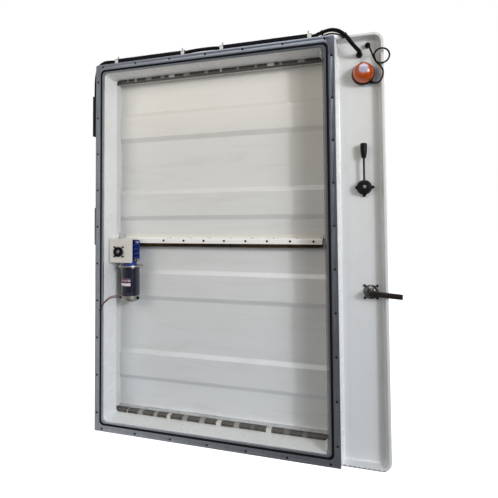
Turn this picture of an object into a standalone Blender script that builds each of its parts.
"""Powered horizontal sliding door set: mounting flange, splayed reveal, control panel tray,
ribbed leaf on telescopic slides, and a worm gearmotor driving a rack across the leaf.

Frame: x = 0 on the centre line of the doorway, +Y towards the leaf, z = 0 on the underside of
the flange; front means -Y and right means +X.  The design counts y from the flange's front
face; the last step moves the origin to the middle of the flange's thickness.  Metres, +Z up.
Outlines in "xz" hold (x, z) points, "yz" (y, z) and "xy" (x, y).
"""
import bpy
import bmesh
import math
from mathutils import Matrix, Vector

# ------------------------------------------------------------------ driving dimensions
GAP = 0.0003              # between touching pieces
SHEET = 0.0025            # sheet thickness of the reveal and tray

# rounded rectangles are (x0, x1, z0, z1, corner radius)
FLANGE_W = 1.128
FLANGE_H = 1.745
FLANGE_T = 0.008
WINDOW = (-0.5205, 0.5205, 0.0460, 1.7010, 0.020)
OPENING = (-0.508, 0.508, 0.053, 1.696, 0.017)      # clear opening at the back of the reveal
REVEAL_Y = 0.0978         # back face of the reveal
TRAY_RIM = (-0.5645, 0.755, 0.0, FLANGE_H, 0.040)
TRAY_RIM_Y = 0.022
TRAY_Y = 0.058            # front face of the control panel
ON_TRAY_Y = TRAY_Y - GAP  # back of the pieces mounted on the panel
BEHIND_TRAY_Y = 0.0608    # front of the pieces mounted behind it

RAIL_H = 0.040
RAIL_HALF = 0.530         # half length
RAILS = {"bottom": 0.044, "top": 1.705}             # centre heights
MID_RAIL_Y = (0.1035, 0.1525)

LEAF_Y = 0.158            # front face of the leaf sheet
LEAF_X = (-0.540, 0.535)
LEAF_Z = (0.020, 1.729)
RIB_PROUD = 0.015
RIB_PITCH = 0.3975
RIB_Z0 = 0.277            # centre of the lowest rib
RIB_COUNT = 4

MODULE = 0.002            # rack and pinion
BACKLASH = 0.0003         # taken off each flank
TOOTH_PITCH = math.pi * MODULE
TOOTH_HALF = TOOTH_PITCH / 4 - BACKLASH             # half thickness on the pitch line
PINION_TEETH = 23
SHAFT_X, SHAFT_Z = -0.460, 0.839
SHAFT = (SHAFT_X, SHAFT_Z)
SHAFT_HOLE_R = 0.0093
RACK_PITCH_Z = SHAFT_Z + MODULE * PINION_TEETH / 2
RACK_X = (-0.490, 0.4945)
GEAR_Y = (0.1187, 0.1373)

CENTRE_DIST = 0.040       # worm to wheel
WORM_X = SHAFT_X + CENTRE_DIST
WORM_Y = 0.079
WORM_AXIS = (WORM_X, WORM_Y)
WHEEL_TEETH = 14
WHEEL_MODULE = 0.004
WORM_LEAD = math.pi * WHEEL_MODULE

# (x, z) places on the control panel
LEVER = (0.672, 1.117)
HANDLE = (0.691, 0.692)
BEACON = (0.676, 1.584)
GLAND_1 = (0.662, 1.669)
GLAND_2 = (0.6955, 1.704)
LEVER_ROD_Y = 0.0340
HANDLE_DROOP = 4.5        # degrees below level at rest
LATCH_SWING = 88.0        # degrees from released to latched
LATCH_LEN = 0.111

# ------------------------------------------------------------------ scene
for ob in list(bpy.data.objects):
    bpy.data.objects.remove(ob, do_unlink=True)
for collection in list(bpy.data.collections):
    bpy.data.collections.remove(collection)
PARTS = bpy.data.collections.new("sliding_door_set")
CUTTERS = bpy.data.collections.new("cutters")
bpy.context.scene.collection.children.link(PARTS)
bpy.context.scene.collection.children.link(CUTTERS)


def material(name, rgb, rough, metal=0.0, alpha=1.0):
    mat = bpy.data.materials.new(name)
    mat.use_nodes = True
    inputs = mat.node_tree.nodes["Principled BSDF"].inputs
    inputs["Base Color"].default_value = (*rgb, 1.0)
    inputs["Roughness"].default_value = rough
    inputs["Metallic"].default_value = metal
    inputs["Alpha"].default_value = alpha
    return mat


FLANGE_GREY = material("flange_grey", rgb=(0.20, 0.21, 0.24), rough=0.45, metal=0.7)
BLACK_RUBBER = material("black_rubber", rgb=(0.012, 0.012, 0.014), rough=0.75)
GLOSS_WHITE = material("gloss_white", rgb=(0.72, 0.73, 0.74), rough=0.28)
LEAF_WHITE = material("leaf_white", rgb=(0.66, 0.66, 0.65), rough=0.35)
RAIL_DARK = material("rail_dark", rgb=(0.10, 0.095, 0.09), rough=0.5, metal=0.6)
ZINC = material("zinc", rgb=(0.55, 0.55, 0.54), rough=0.35, metal=0.9)
RACK_STEEL = material("rack_steel", rgb=(0.07, 0.055, 0.045), rough=0.45, metal=0.8)
GEARBOX_BLUE = material("gearbox_blue", rgb=(0.012, 0.028, 0.20), rough=0.35)
MOTOR_BLACK = material("motor_black", rgb=(0.012, 0.013, 0.025), rough=0.3)
CAST_ALU = material("cast_aluminium", rgb=(0.50, 0.49, 0.46), rough=0.4, metal=0.85)
CHROME = material("chrome", rgb=(0.75, 0.75, 0.75), rough=0.12, metal=1.0)
BLACK_STEEL = material("black_steel", rgb=(0.02, 0.018, 0.017), rough=0.4, metal=0.5)
BLACK_PLASTIC = material("black_plastic", rgb=(0.012, 0.012, 0.013), rough=0.35)
AMBER = material("amber_lens", rgb=(0.85, 0.16, 0.01), rough=0.08, alpha=0.8)
BRONZE = material("bronze", rgb=(0.42, 0.25, 0.09), rough=0.35, metal=0.9)
WIRE_RED = material("wire_red", rgb=(0.35, 0.015, 0.02), rough=0.4)
PALE_BLUE = material("pale_plate", rgb=(0.50, 0.56, 0.62), rough=0.4)
PALE_RUBBER = material("pale_rubber", rgb=(0.60, 0.60, 0.58), rough=0.6)


# ------------------------------------------------------------------ outlines
CORNERS = ((-1, -1), (1, -1), (1, 1), (-1, 1))


def arc(x, z, radius, start, end, steps):
    """Points on an arc; angles in degrees."""
    angles = [math.radians(start + (end - start) * i / steps) for i in range(steps + 1)]
    return [(x + radius * math.cos(a), z + radius * math.sin(a)) for a in angles]


def circle(x, z, radius, count, phase=0.0):
    angles = [phase + math.tau * i / count for i in range(count)]
    return [(x + radius * math.cos(a), z + radius * math.sin(a)) for a in angles]


def rounded(x0, x1, z0, z1, radius):
    """Rounded rectangle, anticlockwise from the lower right corner."""
    return (arc(x1 - radius, z0 + radius, radius, -90, 0, 4)
            + arc(x1 - radius, z1 - radius, radius, 0, 90, 4)
            + arc(x0 + radius, z1 - radius, radius, 90, 180, 4)
            + arc(x0 + radius, z0 + radius, radius, 180, 270, 4))


def inset(rect, by):
    """Rounded rectangle's numbers moved inwards; a negative distance moves them outwards."""
    x0, x1, z0, z1, radius = rect
    return (x0 + by, x1 - by, z0 + by, z1 - by, radius - by)


def square(centre, half):
    return [(centre[0] + sx * half, centre[1] + sz * half) for sx, sz in CORNERS]


def four_holes(centre, dx, dz):
    """Hole centres either side of a centre, column by column."""
    return [(centre[0] + sx * dx, centre[1] + sz * dz) for sx in (-1, 1) for sz in (-1, 1)]


def turned(points, centre, degrees):
    """Points turned about their own zero, then moved to a centre."""
    cos, sin = math.cos(math.radians(degrees)), math.sin(math.radians(degrees))
    return [(centre[0] + u * cos - v * sin, centre[1] + u * sin + v * cos) for u, v in points]


def spline_points(controls, per):
    """Catmull-Rom points through the control points, per of them to a span."""
    pts = [Vector(c) for c in controls]
    extended = [pts[0] * 2 - pts[1]] + pts + [pts[-1] * 2 - pts[-2]]
    out = []
    for i in range(1, len(extended) - 2):
        before, start, end, after = extended[i - 1:i + 3]
        for k in range(per):
            t = k / per
            out.append(0.5 * ((2 * start) + (end - before) * t
                              + (2 * before - 5 * start + 4 * end - after) * t * t
                              + (3 * start - before - 3 * end + after) * t ** 3))
    out.append(pts[-1])
    return [tuple(p) for p in out]


# ------------------------------------------------------------------ solids
def place(ob, mat):
    """Link a piece with its material; with no material it is a hidden cutter."""
    if mat is None:
        CUTTERS.objects.link(ob)
        ob.hide_render = True
        ob.display_type = "WIRE"
    else:
        PARTS.objects.link(ob)
        ob.data.materials.clear()
        ob.data.materials.append(mat)
    return ob


def smooth(ob, degrees=35.0):
    ob.data.shade_smooth()
    ob.data.set_sharp_from_angle(angle=math.radians(degrees))
    return ob


def bmesh_object(name, bm):
    mesh = bpy.data.meshes.new(name)
    bm.to_mesh(mesh)
    bm.free()
    return bpy.data.objects.new(name, mesh)


def curve_to_mesh(curve_ob, name):
    """Evaluated curve as a welded mesh object with the same placement."""
    bpy.context.scene.collection.objects.link(curve_ob)
    bpy.context.view_layer.update()
    graph = bpy.context.evaluated_depsgraph_get()
    mesh = bpy.data.meshes.new_from_object(curve_ob.evaluated_get(graph))
    bm = bmesh.new()
    bm.from_mesh(mesh)
    bmesh.ops.remove_doubles(bm, verts=bm.verts, dist=1e-6)
    bmesh.ops.recalc_face_normals(bm, faces=bm.faces)
    bm.to_mesh(mesh)
    bm.free()
    mesh.name = name
    ob = bpy.data.objects.new(name, mesh)
    ob.matrix_world = curve_ob.matrix_world.copy()
    bpy.data.objects.remove(curve_ob, do_unlink=True)
    return ob


PLANES = {   # maps local (u, v, w) to world
    "xz": Matrix(((1, 0, 0, 0), (0, 0, -1, 0), (0, 1, 0, 0), (0, 0, 0, 1))),   # u=x v=z w=-y
    "yz": Matrix(((0, 0, 1, 0), (1, 0, 0, 0), (0, 1, 0, 0), (0, 0, 0, 1))),    # u=y v=z w=x
    "xy": Matrix.Identity(4),                                                 # u=x v=y w=z
}


def prism(name, loops, plane, low, high, mat=None):
    """Flat outline (first loop outer, others holes) swept from low to high across its plane."""
    curve = bpy.data.curves.new(name + "_outline", "CURVE")
    curve.dimensions = "2D"
    curve.fill_mode = "BOTH"
    curve.extrude = (high - low) / 2
    for pts in loops:
        spline = curve.splines.new("POLY")
        spline.points.add(len(pts) - 1)
        for point, (u, v) in zip(spline.points, pts):
            point.co = (u, v, 0, 1)
        spline.use_cyclic_u = True
    ob = bpy.data.objects.new(name + "_outline", curve)
    mid = (low + high) / 2
    shift = {"xz": (0, mid, 0), "yz": (mid, 0, 0), "xy": (0, 0, mid)}[plane]
    ob.matrix_world = Matrix.Translation(shift) @ PLANES[plane]
    return place(curve_to_mesh(ob, name), mat)


def box(name, low, high, mat=None, bevel=0.0):
    bm = bmesh.new()
    bmesh.ops.create_cube(bm, size=1.0)
    bmesh.ops.scale(bm, vec=[b - a for a, b in zip(low, high)], verts=bm.verts)
    ob = bmesh_object(name, bm)
    ob.location = [(a + b) / 2 for a, b in zip(low, high)]
    place(ob, mat)
    if bevel:
        edge = ob.modifiers.new("edge", "BEVEL")
        edge.width = bevel
        edge.segments = 2
        edge.limit_method = "ANGLE"
    return ob


TURN = {"z": Matrix.Identity(4), "y": Matrix.Rotation(math.radians(-90), 4, "X"),
        "x": Matrix.Rotation(math.radians(90), 4, "Y")}


def cyl(name, radius, low, high, axis, centre, segments, mat=None):
    """Cylinder along an axis; centre gives the two other coordinates in x, y, z order."""
    bm = bmesh.new()
    bmesh.ops.create_cone(bm, cap_ends=True, segments=segments,
                          radius1=radius, radius2=radius, depth=high - low)
    ob = bmesh_object(name, bm)
    middle = list(centre)
    middle.insert("xyz".index(axis), (low + high) / 2)
    ob.matrix_world = Matrix.Translation(middle) @ TURN[axis]
    return smooth(place(ob, mat))


def lathe(name, profile, axis, centre, steps, mat=None, closed=False):
    """Piece turned about a y or z axis; profile holds (radius, coordinate on the axis)."""
    count = len(profile)
    edges = [(i, i + 1) for i in range(count - 1)]
    if closed:
        edges.append((count - 1, 0))
    if axis == "y":     # local +Z goes to world -Y
        sign = -1
        matrix = (Matrix.Translation((centre[0], 0, centre[1]))
                  @ Matrix.Rotation(math.radians(90), 4, "X"))
    else:
        sign = 1
        matrix = Matrix.Translation((centre[0], centre[1], 0))
    mesh = bpy.data.meshes.new(name)
    mesh.from_pydata([(radius, 0, sign * along) for radius, along in profile], edges, [])
    ob = bpy.data.objects.new(name, mesh)
    turn = ob.modifiers.new("turn", "SCREW")
    turn.axis = "Z"
    turn.angle = math.tau
    turn.steps = steps
    turn.render_steps = steps
    turn.use_merge_vertices = True
    turn.merge_threshold = 1e-5
    turn.use_smooth_shade = True
    ob.matrix_world = matrix
    return place(ob, mat)


def tube(name, pts, radius, resolution, mat):
    curve = bpy.data.curves.new(name, "CURVE")
    curve.dimensions = "3D"
    curve.bevel_depth = radius
    curve.bevel_resolution = resolution
    curve.use_fill_caps = True
    spline = curve.splines.new("POLY")
    spline.points.add(len(pts) - 1)
    for point, co in zip(spline.points, pts):
        point.co = (*co, 1)
    return smooth(place(curve_to_mesh(bpy.data.objects.new(name + "_path", curve), name), mat))


def ring_sweep(name, sections, mat):
    """Closed section carried round rounded rectangles: each entry is (rectangle, y)."""
    bm = bmesh.new()
    rings = [[bm.verts.new((x, y, z)) for x, z in rounded(*rect)] for rect, y in sections]
    for ring, following in zip(rings, rings[1:] + rings[:1]):
        for i in range(len(ring)):
            j = (i + 1) % len(ring)
            bm.faces.new((ring[i], ring[j], following[j], following[i]))
    bmesh.ops.recalc_face_normals(bm, faces=bm.faces)
    return smooth(place(bmesh_object(name, bm), mat), 30)


def cut(ob, *tools, op="DIFFERENCE"):
    for tool in tools:
        boolean = ob.modifiers.new(tool.name, "BOOLEAN")
        boolean.operation = op
        boolean.object = tool


def add_bolts(plate, prefix, places, profile):
    """Join four turned bolts to a plate."""
    for i, centre in enumerate(places, 1):
        cut(plate, lathe("%s_%d_tool" % (prefix, i), profile, "y", centre, 8), op="UNION")


# ------------------------------------------------------------------ mounting flange and gasket
HOLE_PITCH = 0.175        # all four sides
HOLE_COLUMNS = 7
HOLE_ROWS = 10
HOLE_R = 0.0035
HOLE_EDGE = 0.012         # hole centre to outer edge
FLANGE_CORNER_R = 0.008   # upper corners only
GROOVE_D = 0.005
GROOVE_OUTER = (-0.5385, 0.5385, 0.0285, 1.7185, 0.022)
GROOVE_INNER = (-0.5285, 0.5285, 0.0385, 1.7085, 0.018)


def fixing_holes():
    pts = []
    for i in range(HOLE_COLUMNS):
        for z in (HOLE_EDGE, FLANGE_H - HOLE_EDGE):
            pts.append(((i - (HOLE_COLUMNS - 1) / 2) * HOLE_PITCH, z))
    lowest = (FLANGE_H - (HOLE_ROWS - 1) * HOLE_PITCH) / 2
    for j in range(HOLE_ROWS):
        for side in (-1, 1):
            pts.append((side * (FLANGE_W / 2 - HOLE_EDGE), lowest + j * HOLE_PITCH))
    return pts


flange_half = FLANGE_W / 2
corner_x, corner_z = flange_half - FLANGE_CORNER_R, FLANGE_H - FLANGE_CORNER_R
flange_outline = [(-flange_half, 0.0), (flange_half, 0.0)]
flange_outline += arc(corner_x, corner_z, FLANGE_CORNER_R, 0, 90, 3)
flange_outline += arc(-corner_x, corner_z, FLANGE_CORNER_R, 90, 180, 3)
hole_loops = [circle(x, z, HOLE_R, 6, math.pi / 6) for x, z in fixing_holes()]
flange = prism("mounting_flange", [flange_outline, rounded(*WINDOW)] + hole_loops,
               "xz", 0.0, FLANGE_T, FLANGE_GREY)
cut(flange, prism("groove_cutter", [rounded(*GROOVE_OUTER), rounded(*GROOVE_INNER)],
                  "xz", -0.004, GROOVE_D))
prism("flange_gasket", [rounded(*inset(GROOVE_OUTER, GAP)), rounded(*inset(GROOVE_INNER, -GAP))],
      "xz", 0.0004, GROOVE_D - GAP, BLACK_RUBBER)

# ------------------------------------------------------------------ reveal and panel tray
REVEAL_FRONT_Y = FLANGE_T + 0.0005
REVEAL_RIM = (-0.545, 0.545, 0.010, 1.739, 0.025)
OPENING_OUTSIDE = (-0.5109, 0.5109, 0.0502, 1.6988, 0.0198)
TRAY_SPLAY = 0.018        # rim to panel, measured on the outside
TRAY_WINDOW = (-0.5176, 0.5176, 0.0452, 1.7030, 0.022)
HANDLE_BOLTS = four_holes(HANDLE, 0.024, 0.025)

ring_sweep("reveal_liner", [
    (WINDOW, REVEAL_FRONT_Y), (OPENING, REVEAL_Y), (REVEAL_RIM, REVEAL_Y),
    (REVEAL_RIM, REVEAL_Y - SHEET), (OPENING_OUTSIDE, REVEAL_Y - SHEET),
    (inset(WINDOW, -SHEET), REVEAL_FRONT_Y)], GLOSS_WHITE)

tray = ring_sweep("panel_tray", [
    (TRAY_RIM, TRAY_RIM_Y), (inset(TRAY_RIM, SHEET), TRAY_RIM_Y),
    (inset(TRAY_RIM, TRAY_SPLAY + SHEET), TRAY_Y),
    (inset(TRAY_RIM, TRAY_SPLAY), TRAY_Y + SHEET)], GLOSS_WHITE)
tray_plate = prism("tray_plate_tool", [
    rounded(*inset(TRAY_RIM, 0.0190)), rounded(*TRAY_WINDOW),
    circle(*LEVER, 0.011, 12), circle(*HANDLE, 0.0096, 12),
    circle(*GLAND_1, 0.0089, 12), circle(*GLAND_2, 0.0089, 12)]
    + [circle(x, z, 0.0036, 8) for x, z in HANDLE_BOLTS], "xz", TRAY_Y, TRAY_Y + SHEET)
cut(tray, tray_plate, op="UNION")

# ------------------------------------------------------------------ telescopic slides
RAIL_T = 0.003
FIXED_RAIL_Y = (REVEAL_Y + GAP + 0.0001, 0.1260)
INNER_RAIL_Y = (0.1300, LEAF_Y - GAP)
MID_RAIL_CLEARANCE = 0.005     # above and below


def slide(side, centre_z):
    """Fixed, inner and middle rails; the first two are channels that face each other."""
    low, high = centre_z - RAIL_H / 2, centre_z + RAIL_H / 2
    low_in, high_in = low + RAIL_T, high - RAIL_T
    back, lip = FIXED_RAIL_Y
    prism(side + "_fixed_rail", [[
        (back, low), (lip, low), (lip, low_in), (back + RAIL_T, low_in),
        (back + RAIL_T, high_in), (lip, high_in), (lip, high), (back, high)]],
        "yz", -RAIL_HALF, RAIL_HALF, RAIL_DARK)
    lip, back = INNER_RAIL_Y
    prism(side + "_inner_rail", [[
        (back, low), (back, high), (lip, high), (lip, high_in),
        (back - RAIL_T, high_in), (back - RAIL_T, low_in), (lip, low_in), (lip, low)]],
        "yz", -RAIL_HALF, RAIL_HALF - 0.005, ZINC)
    # a bar with a shallow recess along its top and bottom
    front, rear = MID_RAIL_Y
    low, high = low + MID_RAIL_CLEARANCE, high - MID_RAIL_CLEARANCE
    floor, ceiling = low + 0.003, high - 0.003
    prism(side + "_mid_rail", [[
        (front, low), (front + 0.006, low), (front + 0.008, floor),
        (rear - 0.008, floor), (rear - 0.006, low), (rear, low),
        (rear, high), (rear - 0.006, high), (rear - 0.008, ceiling),
        (front + 0.008, ceiling), (front + 0.006, high), (front, high)]],
        "yz", -RAIL_HALF + 0.003, RAIL_HALF - 0.003, ZINC)


for side, centre_z in RAILS.items():
    slide(side, centre_z)

# ------------------------------------------------------------------ side seals
SEAL_X = (0.5130, 0.5280)
SEAL_Y = (REVEAL_Y + GAP, 0.1400)
SEAL_Z = (0.072, 1.677)
NOTCH_Y = 0.1120          # the left seal is notched for the rack bar
NOTCH_Z = (0.848, 0.932)

seal_front, seal_back = SEAL_Y
prism("seal_left", [[
    (seal_front, SEAL_Z[0]), (seal_back, SEAL_Z[0]), (seal_back, NOTCH_Z[0]),
    (NOTCH_Y, NOTCH_Z[0]), (NOTCH_Y, NOTCH_Z[1]), (seal_back, NOTCH_Z[1]),
    (seal_back, SEAL_Z[1]), (seal_front, SEAL_Z[1])]], "yz", -SEAL_X[1], -SEAL_X[0], PALE_RUBBER)
prism("seal_right", [[
    (seal_front, SEAL_Z[0]), (seal_back, SEAL_Z[0]),
    (seal_back, SEAL_Z[1]), (seal_front, SEAL_Z[1])]], "yz", *SEAL_X, PALE_RUBBER)

# ------------------------------------------------------------------ leaf
LEAF_T = 0.003
LEAF_RETURN_Y = 0.190     # rear edge of the folded top and bottom
FRAME_Y = (LEAF_Y + 0.0035, 0.1885)
FRAME_W = 0.030           # width of the rear frame's members
# one rib: (z from its centre, share of the rib's full height)
RIB_FRONT = [(-0.082, 0), (-0.066, 0.85), (-0.060, 1), (0.049, 1), (0.055, 0.85), (0.068, 0)]
RIB_BACK = [(-0.0805, 0), (-0.0615, 1), (0.0505, 1), (0.0665, 0)]


def leaf_face(depth, rib):
    """One face of the leaf sheet from bottom to top, set in by depth."""
    face_y = LEAF_Y + depth
    low, high = LEAF_Z[0] + depth, LEAF_Z[1] - depth
    pts = [(LEAF_RETURN_Y, low), (face_y, low)]
    for k in range(RIB_COUNT):
        centre = RIB_Z0 + k * RIB_PITCH
        pts += [(face_y - RIB_PROUD * share, centre + dz) for dz, share in rib]
    return pts + [(face_y, high), (LEAF_RETURN_Y, high)]


def rear_frame():
    """Frame with two columns of openings; its cross members lie between the ribs."""
    x0, x1 = LEAF_X[0] + GAP, LEAF_X[1] - GAP
    z0, z1 = LEAF_Z[0] + 0.0035, LEAF_Z[1] - 0.0035
    half = FRAME_W / 2
    members = [RIB_Z0 + (k + 0.5) * RIB_PITCH - 0.006 for k in range(RIB_COUNT - 1)]
    members = [z0 + half] + members + [z1 - half]
    loops = [[(x0, z0), (x1, z0), (x1, z1), (x0, z1)]]
    for below, above in zip(members, members[1:]):
        low, high = below + half, above - half
        for left, right in ((x0 + FRAME_W, -half), (half, x1 - FRAME_W)):
            loops.append([(left, low), (right, low), (right, high), (left, high)])
    prism("leaf_rear_frame", loops, "xz", *FRAME_Y, ZINC)


prism("leaf_panel", [leaf_face(0.0, RIB_FRONT) + leaf_face(LEAF_T, RIB_BACK)[::-1]],
      "yz", *LEAF_X, LEAF_WHITE)
rear_frame()

# Z-section bar that carries the rack
CARRIER_Y = 0.1150        # front face
CARRIER_Z = 0.902         # top of its level web
CARRIER_T = 0.003
carrier_back = LEAF_Y - GAP
prism("rack_carrier", [[
    (CARRIER_Y, CARRIER_Z - 0.0285), (CARRIER_Y + CARRIER_T, CARRIER_Z - 0.0285),
    (CARRIER_Y + CARRIER_T, CARRIER_Z - CARRIER_T), (carrier_back, CARRIER_Z - CARRIER_T),
    (carrier_back, CARRIER_Z + 0.020), (carrier_back - CARRIER_T, CARRIER_Z + 0.020),
    (carrier_back - CARRIER_T, CARRIER_Z), (CARRIER_Y, CARRIER_Z)]],
    "yz", -0.495, 0.497, GLOSS_WHITE)


def rack_outline():
    """Rack with its teeth down; the pinion's top tooth stands in a gap between two teeth."""
    slope = math.tan(math.radians(20))
    tip, root = 0.9 * MODULE, 1.25 * MODULE
    tip_half, root_half = TOOTH_HALF - tip * slope, TOOTH_HALF + root * slope
    tip_z, root_z = RACK_PITCH_Z - tip, RACK_PITCH_Z + root
    back_z = RACK_PITCH_Z + 0.0182
    end_land = 0.003
    first = math.ceil((RACK_X[0] + end_land - SHAFT_X) / TOOTH_PITCH - 0.5)
    last = math.floor((RACK_X[1] - end_land - SHAFT_X) / TOOTH_PITCH - 0.5)
    pts = [(RACK_X[0], root_z)]
    for k in range(first, last + 1):
        x = SHAFT_X + (k + 0.5) * TOOTH_PITCH
        pts += [(x - root_half, root_z), (x - tip_half, tip_z),
                (x + tip_half, tip_z), (x + root_half, root_z)]
    return pts + [(RACK_X[1], root_z), (RACK_X[1], back_z), (RACK_X[0], back_z)]


prism("rack", [rack_outline()], "xz", *GEAR_Y, RACK_STEEL)
box("rack_end_cap", (0.4948, 0.1187, 0.8605), (0.4968, 0.1480, 0.8980), BLACK_PLASTIC)

# keeper for the latch, on the leaf's right edge
KEEPER_HALF_H = 0.020
keeper_x = LEAF_X[1] + GAP
keeper = prism("keeper_bracket", [[
    (keeper_x, 0.1620), (0.5393, 0.1620), (0.5393, 0.1660), (0.5960, 0.1660),
    (0.5960, 0.1700), (0.5393, 0.1700), (0.5393, FRAME_Y[1]), (keeper_x, FRAME_Y[1])]],
    "xy", HANDLE[1] - KEEPER_HALF_H, HANDLE[1] + KEEPER_HALF_H, ZINC)
cut(keeper, cyl("keeper_pin_tool", 0.005, 0.1470, 0.1680, "y",
                (HANDLE[0] - LATCH_LEN, HANDLE[1]), 16), op="UNION")


# ------------------------------------------------------------------ pinion, shaft, worm wheel
def gear_outline(teeth, module, tip, root, half_tip, half_root, phase):
    """Gear round the output shaft: tooth height and depth, and half widths at tip and root."""
    pitch_r = teeth * module / 2
    corners = ((pitch_r - root, -half_root), (pitch_r + tip, -half_tip),
               (pitch_r + tip, half_tip), (pitch_r - root, half_root))
    pts = []
    for i in range(teeth):
        middle = phase + math.tau * i / teeth
        for radius, half in corners:
            angle = middle + half / radius
            pts.append((SHAFT_X + radius * math.cos(angle), SHAFT_Z + radius * math.sin(angle)))
    return pts


shaft_hole = circle(*SHAFT, SHAFT_HOLE_R, 16)
pinion_outline = gear_outline(PINION_TEETH, MODULE, tip=0.9 * MODULE, root=1.2 * MODULE,
                              half_tip=TOOTH_HALF - 0.00075, half_root=TOOTH_HALF + 0.00045,
                              phase=math.pi / 2)
prism("pinion", [pinion_outline, shaft_hole], "xz", *GEAR_Y, RACK_STEEL)
cyl("output_shaft", 0.009, 0.0270, 0.1385, "y", SHAFT, 24, ZINC)

THREAD_R = 0.0112         # path of the worm's thread
THREAD_SECTION_R = 0.0024
THREAD_TURNS = 3.0
THREAD_STEPS = 30
WHEEL_HALF_W = 0.008
WHEEL_RIM_FROM = 0.012    # only points beyond this radius lean
wheel_outline = gear_outline(WHEEL_TEETH, WHEEL_MODULE, tip=0.0020, root=0.0025,
                             half_tip=0.0018, half_root=0.0034, phase=math.pi / WHEEL_TEETH)
wheel = prism("worm_wheel", [wheel_outline, shaft_hole],
              "xz", WORM_Y - WHEEL_HALF_W, WORM_Y + WHEEL_HALF_W, BRONZE)


def lean_teeth(wheel):
    """Lean the wheel's teeth by the worm's lead angle."""
    lead = math.atan(WORM_LEAD / (math.tau * THREAD_R))
    to_world = wheel.matrix_world
    for vertex in wheel.data.vertices:
        point = to_world @ vertex.co
        dx, dz = point.x - SHAFT_X, point.z - SHAFT_Z
        if math.hypot(dx, dz) > WHEEL_RIM_FROM:
            angle = -(point.y - WORM_Y) * math.tan(lead) / (CENTRE_DIST - THREAD_R)
            point.x = SHAFT_X + dx * math.cos(angle) - dz * math.sin(angle)
            point.z = SHAFT_Z + dx * math.sin(angle) + dz * math.cos(angle)
            vertex.co = to_world.inverted() @ point


lean_teeth(wheel)

# worm: core with a right-hand thread, standing on the motor's axis
helix = []
for i in range(THREAD_STEPS + 1):
    turn = (i / THREAD_STEPS - 0.5) * THREAD_TURNS
    angle = math.tau * turn + math.pi            # at turn 0 the thread faces the wheel
    helix.append((WORM_X + THREAD_R * math.cos(angle), WORM_Y + THREAD_R * math.sin(angle),
                  SHAFT_Z + WORM_LEAD * turn))
worm = tube("worm", helix, THREAD_SECTION_R, 0, RACK_STEEL)
worm_core = lathe("worm_core_tool", [
    (0, 0.8790), (0.0090, 0.8790), (0.0090, 0.8020), (0.0075, 0.8020), (0.0075, 0.7750),
    (0, 0.7750)], "z", WORM_AXIS, 20)
cut(worm, worm_core, op="UNION")

# ------------------------------------------------------------------ drive bracket and bearing
BRACKET_X = (-0.5130, -0.3880)
BRACKET_Z = (0.787, 0.902)
BRACKET_Y = (0.0380, 0.0410)
HOOD_Y = (0.0405, 0.0940)      # side and top flanges behind the bracket plate
BEARING_HOLE_R = 0.0226
BEARING_BOLT = 0.0225          # bolt offset from the shaft in x and z
bracket_x0, bracket_x1 = BRACKET_X
bracket_z0, bracket_z1 = BRACKET_Z
bracket = prism("drive_bracket", [
    [(bracket_x0, bracket_z0), (bracket_x1, bracket_z0),
     (bracket_x1, bracket_z1), (bracket_x0, bracket_z1)],
    circle(*SHAFT, BEARING_HOLE_R, 24)]
    + [circle(x, z, 0.0029, 8) for x, z in four_holes(SHAFT, BEARING_BOLT, BEARING_BOLT)],
    "xz", *BRACKET_Y, GLOSS_WHITE)
hood = prism("bracket_hood_tool", [[
    (-0.5075, HOOD_Y[0]), (-0.5075, HOOD_Y[1]), (-0.5045, HOOD_Y[1]), (-0.5045, HOOD_Y[0])]],
    "xy", *BRACKET_Z)
lid = box("bracket_lid_tool", (-0.5060, HOOD_Y[0], 0.8990), (bracket_x1, HOOD_Y[1], bracket_z1))
cut(bracket, hood, lid, op="UNION")
lathe("bearing_housing", [
    (0.0222, 0.0300), (0.0222, 0.0440), (0.0093, 0.0440), (0.0093, 0.0300),
    (0.0130, 0.0290), (0.0190, 0.0285)], "y", SHAFT, 20, BLACK_STEEL, closed=True)
bearing_plate = prism("bearing_bolt_plate", [
    square(SHAFT, 0.030), circle(*SHAFT, BEARING_HOLE_R, 20)], "xz", 0.0413, 0.0443, BLACK_STEEL)
add_bolts(bearing_plate, "bearing_bolt", square(SHAFT, BEARING_BOLT), [
    (0, 0.0337), (0.0046, 0.0337), (0.0046, 0.0377), (0.0025, 0.0377), (0.0025, 0.0425),
    (0, 0.0425)])

# ------------------------------------------------------------------ gearbox
GEARBOX_X = (-0.5035, -0.3865)
GEARBOX_Z = (0.788, 0.894)
GEARBOX_BORE_R = 0.0094
housing = box("gearbox_housing", (GEARBOX_X[0], 0.0448, GEARBOX_Z[0]),
              (GEARBOX_X[1], 0.0985, GEARBOX_Z[1]), GEARBOX_BLUE, bevel=0.006)
cut(housing, cyl("gearbox_neck_tool", 0.031, 0.7723, 0.7900, "z", WORM_AXIS, 24), op="UNION")
cut(housing,
    box("gearbox_cavity", (GEARBOX_X[0] + 0.009, 0.0560, 0.7980), (-0.3985, 0.1100, 0.8850)),
    cyl("gearbox_front_bore", GEARBOX_BORE_R, 0.0400, 0.0600, "y", SHAFT, 20),
    cyl("gearbox_worm_bore", 0.0100, 0.7600, 0.8050, "z", WORM_AXIS, 20))
cover = box("gearbox_cover", (GEARBOX_X[0], 0.0988, GEARBOX_Z[0] + 0.0035),
            (GEARBOX_X[1], 0.1125, GEARBOX_Z[1]), GEARBOX_BLUE, bevel=0.004)
cut(cover, cyl("gearbox_cover_bore", GEARBOX_BORE_R, 0.0900, 0.1200, "y", SHAFT, 20))

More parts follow.
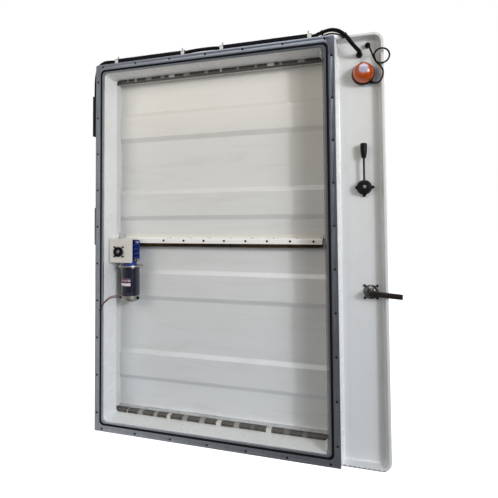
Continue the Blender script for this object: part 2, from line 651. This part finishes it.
# ------------------------------------------------------------------ motor
# profiles are (radius, z)
lathe("motor_adapter_flange", [
    (0.0590, 0.7720), (0.0595, 0.7715), (0.0595, 0.7665), (0.0590, 0.7660), (0.0085, 0.7660),
    (0.0085, 0.7720)], "z", WORM_AXIS, 28, CAST_ALU, closed=True)
lathe("motor_can", [
    (0.0425, 0.7657), (0.0435, 0.7647), (0.0435, 0.6290), (0.0400, 0.6290), (0.0400, 0.7597),
    (0.0085, 0.7597), (0.0085, 0.7657)], "z", WORM_AXIS, 28, MOTOR_BLACK, closed=True)
lathe("motor_end_cap", [
    (0, 0.6060), (0.0360, 0.6060), (0.0360, 0.6287), (0.0428, 0.6287), (0.0428, 0.6050),
    (0.0410, 0.6015), (0.0380, 0.5990), (0, 0.5990)], "z", WORM_AXIS, 28, CAST_ALU)
lathe("motor_rotor", [
    (0, 0.7747), (0.0070, 0.7747), (0.0070, 0.7300), (0.0140, 0.7300), (0.0140, 0.6600),
    (0.0070, 0.6600), (0.0070, 0.6500), (0.0100, 0.6500), (0.0100, 0.6320), (0.0060, 0.6320),
    (0.0060, 0.6120), (0, 0.6120)], "z", WORM_AXIS, 14, RACK_STEEL)
cyl("brush_cap", 0.0070, WORM_X + 0.0432, WORM_X + 0.0490, "x", (0.0700, 0.6170), 16,
    BLACK_PLASTIC)

# the two leads run side by side about one path of (x, y, z) points
LEAD_PATH = [(-0.4640, 0.0640, 0.6160), (-0.4760, 0.0560, 0.6190), (-0.4900, 0.0420, 0.6160),
             (-0.5000, 0.0300, 0.6050), (-0.5060, 0.0200, 0.5860)]
for name, dy, dz, mat in (("lead_red", 0.0045, -0.0040, WIRE_RED),
                          ("lead_black", -0.0045, 0.0040, BLACK_RUBBER)):
    path = [(x, y + dy, z + dz) for x, y, z in LEAD_PATH]
    tube(name, spline_points(path, 3), 0.0018, 1, mat)

# ------------------------------------------------------------------ conduit, covers, glands
# (x, y, z) points: up the left side, along the top, then down to the first gland
CONDUIT_LEFT = [
    (-0.582, 0.034, 1.410), (-0.586, 0.034, 1.530), (-0.587, 0.034, 1.660),
    (-0.5820, 0.034, 1.715), (-0.5670, 0.034, 1.751), (-0.5400, 0.034, 1.7670),
    (-0.5050, 0.034, 1.7680), (-0.4700, 0.034, 1.7645)]
CONDUIT_TOP = [
    (-0.1250, 0.034, 1.7645), (-0.0700, 0.034, 1.7700), (0.0200, 0.034, 1.7700),
    (0.0750, 0.034, 1.7645)]
CONDUIT_RIGHT = [
    (0.3000, 0.034, 1.7640), (0.4650, 0.034, 1.7640), (0.4980, 0.033, 1.7700),
    (0.5260, 0.030, 1.7765), (0.5520, 0.026, 1.7775), (0.5770, 0.020, 1.7680),
    (0.5990, 0.0120, 1.7490), (0.6160, 0.0060, 1.7270), (0.6320, 0.0040, 1.7020),
    (0.6480, 0.0070, 1.6820), (0.6595, 0.0170, 1.6715), (0.6618, 0.0290, 1.6692),
    (0.6620, 0.0398, 1.6690)]
conduit = []
for controls in (CONDUIT_LEFT, CONDUIT_TOP, CONDUIT_RIGHT):
    conduit += spline_points(controls, 3)
tube("cable_conduit", conduit, 0.009, 1, BLACK_RUBBER)

# channel sections that cover the conduit
TOP_COVER = [(0.0205, 1.7453), (0.0220, 1.7453), (0.0220, 1.7745), (0.0460, 1.7745),
             (0.0460, 1.7453), (0.0475, 1.7453), (0.0475, 1.7760), (0.0205, 1.7760)]
SIDE_COVER = [(-0.5648, 0.0225), (-0.5985, 0.0225), (-0.5985, 0.0465), (-0.5648, 0.0465),
              (-0.5648, 0.0450), (-0.5970, 0.0450), (-0.5970, 0.0240), (-0.5648, 0.0240)]
for name, section, plane, low, high in (
        ("top_cover_left", TOP_COVER, "yz", -0.472, -0.108),
        ("top_cover_right", TOP_COVER, "yz", 0.062, 0.470),
        ("side_cover_upper", SIDE_COVER, "xy", 1.405, 1.602),
        ("side_cover_lower", SIDE_COVER, "xy", 0.872, 1.052)):
    prism(name, [section], plane, low, high, ZINC)

for name, centre, radius in (("cable_gland_1", GLAND_1, 0.0130),
                             ("cable_gland_2", GLAND_2, 0.0115)):
    lathe(name, [
        (0, 0.0405), (radius - 0.004, 0.0405), (radius - 0.002, 0.0430),
        (radius - 0.002, 0.0510), (radius, 0.0515), (radius, ON_TRAY_Y),
        (0.0082, ON_TRAY_Y), (0.0082, 0.0680), (0, 0.0680)], "y", centre, 16, BLACK_PLASTIC)

# ------------------------------------------------------------------ beacon
# profiles are (radius, y)
lathe("beacon_plate", [
    (0, 0.0520), (0.0490, 0.0520), (0.0500, 0.0530), (0.0500, ON_TRAY_Y), (0, ON_TRAY_Y)],
    "y", (0.684, BEACON[1]), 24, PALE_BLUE)
lathe("beacon_base", [
    (0, 0.0350), (0.0370, 0.0350), (0.0370, 0.0325), (0.0440, 0.0325), (0.0455, 0.0360),
    (0.0455, 0.0517), (0, 0.0517)], "y", BEACON, 24, BLACK_PLASTIC)
lathe("beacon_lens", [
    (0.0, -0.0120), (0.0148, -0.0108), (0.0295, -0.0040), (0.0392, 0.0100), (0.0420, 0.0322),
    (0.0396, 0.0322), (0.0369, 0.0105), (0.0277, -0.0020), (0.0138, -0.0082), (0.0, -0.0092)],
    "y", BEACON, 24, AMBER)
lathe("beacon_lamp", [
    (0, 0.0040), (0.0045, 0.0055), (0.0060, 0.0100), (0.0060, 0.0347), (0, 0.0347)],
    "y", BEACON, 16, CHROME)
REFLECTOR_Y = (0.0040, 0.0300)
reflector = prism("beacon_reflector", [
    arc(*BEACON, 0.026, -70, 70, 10) + arc(*BEACON, 0.023, 70, -70, 10)],
    "xz", *REFLECTOR_Y, CHROME)
cut(reflector, lathe("beacon_table_tool", [
    (0.0280, 0.0270), (0.0280, 0.0310), (0.0080, 0.0310), (0.0080, 0.0270)],
    "y", BEACON, 24, closed=True), op="UNION")

# the cable makes one coil of just under a turn, which creeps forward as it goes round
COIL_X, COIL_Z, COIL_R = 0.7465, 1.6400, 0.029
coil = [(COIL_X + COIL_R * math.cos(math.radians(a)), 0.0150 - 0.008 * (a + 150) / 345,
         COIL_Z + COIL_R * math.sin(math.radians(a))) for a in range(-150, 196, 30)]
cable_path = [(0.6955, 0.0370, 1.7030), (0.6985, 0.0290, 1.6960), (0.7050, 0.0220, 1.6720)]
cable_path += coil
cable_path += [
    (0.7260, 0.0060, 1.6140), (0.7400, 0.0090, 1.5990), (0.7490, 0.0120, 1.5830),
    (0.7500, 0.0160, 1.5660), (0.7440, 0.0240, 1.5480), (0.7310, 0.0340, 1.5400),
    (0.7190, 0.0400, 1.5410), (0.7090, 0.0430, 1.5460)]
tube("beacon_cable", spline_points(cable_path, 2), 0.0023, 1, BLACK_RUBBER)

# ------------------------------------------------------------------ control lever
LEVER_BASE_R = 0.0300
LUG_DIST = 0.0330         # lug centre from the lever's axis
LUG_R = 0.0062
LUG_ANGLES = (0, 180, 270)
LEVER_BORE_R = 0.0066
SWITCH_HALF = 0.030


def lever_base_outline():
    """Disc with three rounded lugs."""
    pts = []
    for i in range(56):
        angle = math.tau * i / 56
        radius = LEVER_BASE_R
        for degrees in LUG_ANGLES:
            off = angle - math.radians(degrees)
            across = LUG_DIST * math.sin(off)
            if abs(across) < LUG_R and math.cos(off) > 0:
                reach = LUG_DIST * math.cos(off) + math.sqrt(LUG_R ** 2 - across * across)
                radius = max(radius, reach)
        pts.append((LEVER[0] + radius * math.cos(angle), LEVER[1] + radius * math.sin(angle)))
    return pts


prism("lever_base", [lever_base_outline(), circle(*LEVER, LEVER_BORE_R, 14)],
      "xz", 0.0450, ON_TRAY_Y, BLACK_PLASTIC)
lathe("lever_hub", [
    (0.0200, 0.0220), (0.0245, 0.0245), (0.0260, 0.0290), (0.0260, 0.0447), (0.0063, 0.0447),
    (0.0063, 0.0220)], "y", LEVER, 20, BLACK_PLASTIC, closed=True)
lathe("lever_spindle", [
    (0, 0.0170), (0.0070, 0.0170), (0.0075, 0.0176), (0.0075, 0.0217), (0.0060, 0.0217),
    (0.0060, 0.0950), (0, 0.0950)], "y", LEVER, 16, ZINC)
rod_axis = (LEVER[0], LEVER_ROD_Y)
cyl("lever_rod", 0.0045, LEVER[1] + 0.0263, 1.2337, "z", rod_axis, 16, BLACK_STEEL)
lathe("lever_grip", [
    (0, 1.2960), (0.0080, 1.2950), (0.0122, 1.2915), (0.0136, 1.2860), (0.0128, 1.2650),
    (0.0105, 1.2420), (0.0088, 1.2345), (0.0080, 1.2340), (0, 1.2340)],
    "z", rod_axis, 16, BLACK_PLASTIC)
switch = box("switch_body", (LEVER[0] - SWITCH_HALF, 0.0612, LEVER[1] - SWITCH_HALF),
             (LEVER[0] + SWITCH_HALF, 0.1000, LEVER[1] + SWITCH_HALF), BLACK_PLASTIC)
cut(switch, cyl("switch_bore", LEVER_BORE_R, 0.0500, 0.0960, "y", LEVER, 14))
enclosure = box("control_enclosure", (0.600, BEHIND_TRAY_Y, 0.985), (0.730, 0.1250, 1.722),
                GLOSS_WHITE)
cut(enclosure, box("enclosure_cavity", (0.602, 0.0500, 0.987), (0.728, 0.1230, 1.720)))

# ------------------------------------------------------------------ release handle and latch
lathe("handle_rose", [
    (0.0200, 0.0440), (0.0240, 0.0455), (0.0280, 0.0500), (0.0290, 0.0540),
    (0.0290, ON_TRAY_Y), (0.0094, ON_TRAY_Y), (0.0094, 0.0440)],
    "y", HANDLE, 24, CHROME, closed=True)
handle_plate = prism("handle_bolt_plate", [square(HANDLE, 0.033), circle(*HANDLE, 0.0185, 16)],
                     "xz", BEHIND_TRAY_Y, 0.0638, ZINC)
add_bolts(handle_plate, "handle_bolt", HANDLE_BOLTS, [
    (0, 0.0537), (0.0050, 0.0537), (0.0050, ON_TRAY_Y), (0.0031, ON_TRAY_Y),
    (0.0031, 0.0620), (0, 0.0620)])
lathe("spindle_bush", [
    (0.0160, BEHIND_TRAY_Y), (0.0160, 0.0850), (0.0094, 0.0850), (0.0094, BEHIND_TRAY_Y)],
    "y", HANDLE, 20, BRONZE, closed=True)
cyl("handle_spindle", 0.0090, 0.0163, 0.1585, "y", HANDLE, 20, ZINC)

# bar with a rounded hub end and a square far end
BAR_Y = (0.0040, 0.0160)
BAR_LEN = 0.1145
BAR_HALF_H = 0.0100
bar = arc(0, 0, 0.0125, 100, 260, 8) + [(BAR_LEN, -BAR_HALF_H), (BAR_LEN, BAR_HALF_H)]
prism("handle_bar", [turned(bar, HANDLE, -HANDLE_DROOP)], "xz", *BAR_Y, BLACK_STEEL)

# arm with a slotted end, drawn latched; it hangs down when released
SLOT_HALF = 0.0068
arm = arc(0, 0, 0.016, 128, -128, 12)
arm += [(-LATCH_LEN + du, v) for du, v in (
    (-0.015, -0.0170), (-0.015, 0.0100), (-SLOT_HALF, 0.0100),
    (-SLOT_HALF, -0.0060), (SLOT_HALF, -0.0060), (SLOT_HALF, 0.0100))]
prism("latch_arm", [turned(arm, HANDLE, LATCH_SWING), circle(*HANDLE, 0.0093, 16)],
      "xz", 0.1500, 0.1560, ZINC)


# ------------------------------------------------------------------ moving groups
def group(name, point, pieces):
    """Parent pieces, where they stand, to an empty at their joint."""
    joint = bpy.data.objects.new(name, None)
    joint.location = point
    PARTS.objects.link(joint)
    bpy.context.view_layer.update()
    for piece in pieces:
        ob = bpy.data.objects[piece]
        ob.parent = joint
        ob.matrix_parent_inverse = joint.matrix_world.inverted()


group("leaf_slide", (0.0, LEAF_Y, 0.862), [
    "leaf_panel", "leaf_rear_frame", "rack_carrier", "rack", "rack_end_cap", "keeper_bracket",
    "top_inner_rail", "bottom_inner_rail"])
for side in ("top", "bottom"):
    group(side + "_rail_slide", (0.0, sum(MID_RAIL_Y) / 2, RAILS[side]), [side + "_mid_rail"])
group("pinion_spin", (SHAFT_X, sum(GEAR_Y) / 2, SHAFT_Z),
      ["output_shaft", "pinion", "worm_wheel"])
group("worm_spin", (WORM_X, WORM_Y, SHAFT_Z), ["worm", "motor_rotor"])
group("control_lever_swing", (LEVER[0], LEVER_ROD_Y, LEVER[1]),
      ["lever_hub", "lever_spindle", "lever_rod", "lever_grip"])
group("release_handle_turn", (HANDLE[0], sum(BAR_Y) / 2, HANDLE[1]),
      ["handle_spindle", "handle_bar", "latch_arm"])
group("reflector_spin", (BEACON[0], REFLECTOR_Y[1], BEACON[1]), ["beacon_reflector"])

# move the origin to the middle of the flange's thickness; children follow their empties
for ob in bpy.data.objects:
    if ob.parent is None:
        ob.location.y -= FLANGE_T / 2
bpy.context.view_layer.update()
